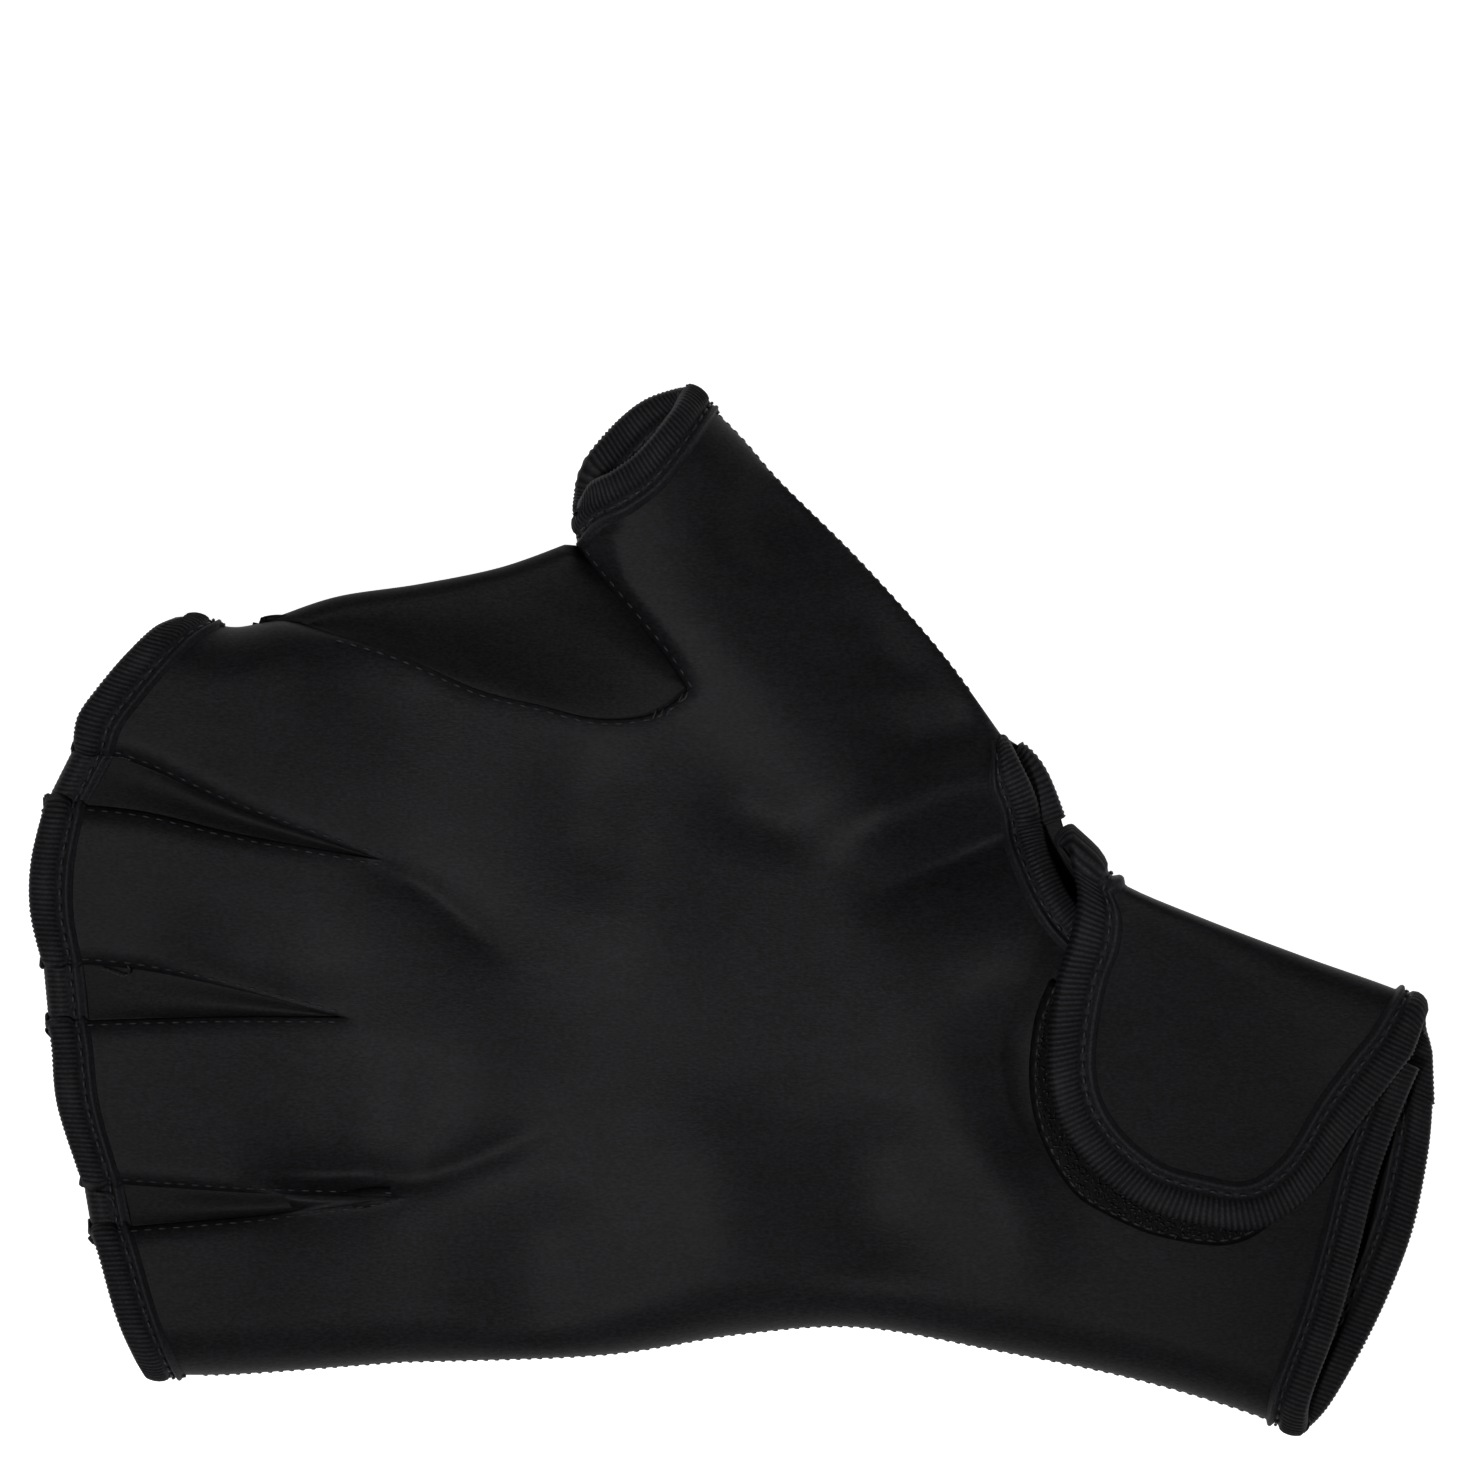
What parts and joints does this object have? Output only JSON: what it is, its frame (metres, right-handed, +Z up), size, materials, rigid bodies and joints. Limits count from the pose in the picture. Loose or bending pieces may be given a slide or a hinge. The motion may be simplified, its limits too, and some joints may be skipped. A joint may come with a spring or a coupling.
{
  "type": "swim glove",
  "caption": "Webbed swim glove lying flat, with open finger ends, folded gussets between the fingers, bound rims and a wrist strap with a rounded tab.",
  "frame": {"origin": "middle of the bounding box, on the surface the glove lies on", "axes": "+X from the finger ends to the cuff, +Y towards the thumb, +Z up out of the surface"},
  "size_m": [0.2212, 0.1658, 0.0182],
  "materials": {
    "neoprene": "matt black knit on neoprene foam",
    "gusset": "matt black stretch knit on thin neoprene",
    "tape": "ribbed black woven binding tape",
    "hook": "black hook-side fastening tape"
  },
  "bodies": {
    "root": {"front_panel": "neoprene", "back_panel": "neoprene", "thumb_web": "gusset", "web_index_middle": "gusset", "web_middle_ring": "gusset", "web_ring_little": "gusset", "strap": "neoprene", "hook_patch": "hook", "binding_index": "tape", "binding_middle": "tape", "binding_ring": "tape", "binding_little": "tape", "binding_web_index_middle": "tape", "binding_web_middle_ring": "tape", "binding_web_ring_little": "tape", "binding_thumb": "tape", "binding_cuff": "tape", "binding_slit_front": "tape", "binding_slit_back": "tape", "binding_strap": "tape"}
  },
  "joints": []
}
